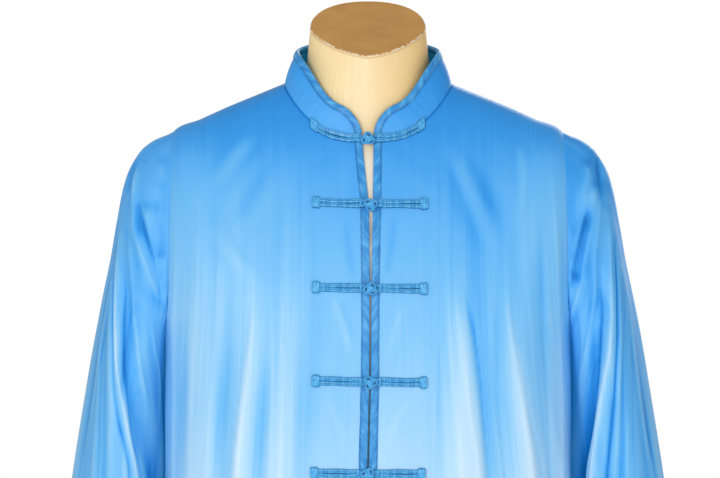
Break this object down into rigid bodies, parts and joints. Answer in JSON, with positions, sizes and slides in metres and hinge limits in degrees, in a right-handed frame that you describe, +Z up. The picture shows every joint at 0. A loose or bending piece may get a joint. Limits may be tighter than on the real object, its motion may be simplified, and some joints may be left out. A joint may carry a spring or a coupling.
{
  "type": "tai chi jacket on a limbless display form",
  "caption": "Satin tai chi jacket with stand collar, frog fastenings and long sleeves, worn by a limbless torso form on a pole and round base.",
  "frame": {"origin": "centre of the base's underside", "axes": "+Z up, the jacket's front faces -Y, +X is to the right of someone who looks at its front"},
  "size_m": [0.6488, 0.33, 0.916],
  "materials": {
    "satin": "satin weave, blue at the shoulders fading to near white at the hem, with a broad sheen",
    "binding_satin": "plain deep sky blue satin bias strip",
    "frog_cord": "stitched satin cord",
    "form_paint": "cream eggshell paint",
    "cap_board": "tan board with worn paint along its front edge",
    "base_paint": "off-white powder coat",
    "stand_steel": "brushed"
  },
  "bodies": {
    "root": {"front_left": "satin", "front_right": "satin", "back": "satin", "sleeve_left": "satin", "sleeve_right": "satin", "collar": "satin", "collar_binding": "binding_satin", "binding_left": "binding_satin", "binding_right": "binding_satin", "frog_1_strap_left": "frog_cord", "frog_1_strap_right": "frog_cord", "frog_1_knot": "frog_cord", "frog_2_strap_left": "frog_cord", "frog_2_strap_right": "frog_cord", "frog_2_knot": "frog_cord", "frog_3_strap_left": "frog_cord", "frog_3_strap_right": "frog_cord", "frog_3_knot": "frog_cord", "frog_4_strap_left": "frog_cord", "frog_4_strap_right": "frog_cord", "frog_4_knot": "frog_cord", "frog_5_strap_left": "frog_cord", "frog_5_strap_right": "frog_cord", "frog_5_knot": "frog_cord", "frog_6_strap_left": "frog_cord", "frog_6_strap_right": "frog_cord", "frog_6_knot": "frog_cord", "frog_7_strap_left": "frog_cord", "frog_7_strap_right": "frog_cord", "frog_7_knot": "frog_cord", "form_torso": "form_paint", "form_neck_cap": "cap_board", "stand_base": "base_paint", "stand_hub": "stand_steel", "stand_pole": "stand_steel"}
  },
  "joints": []
}
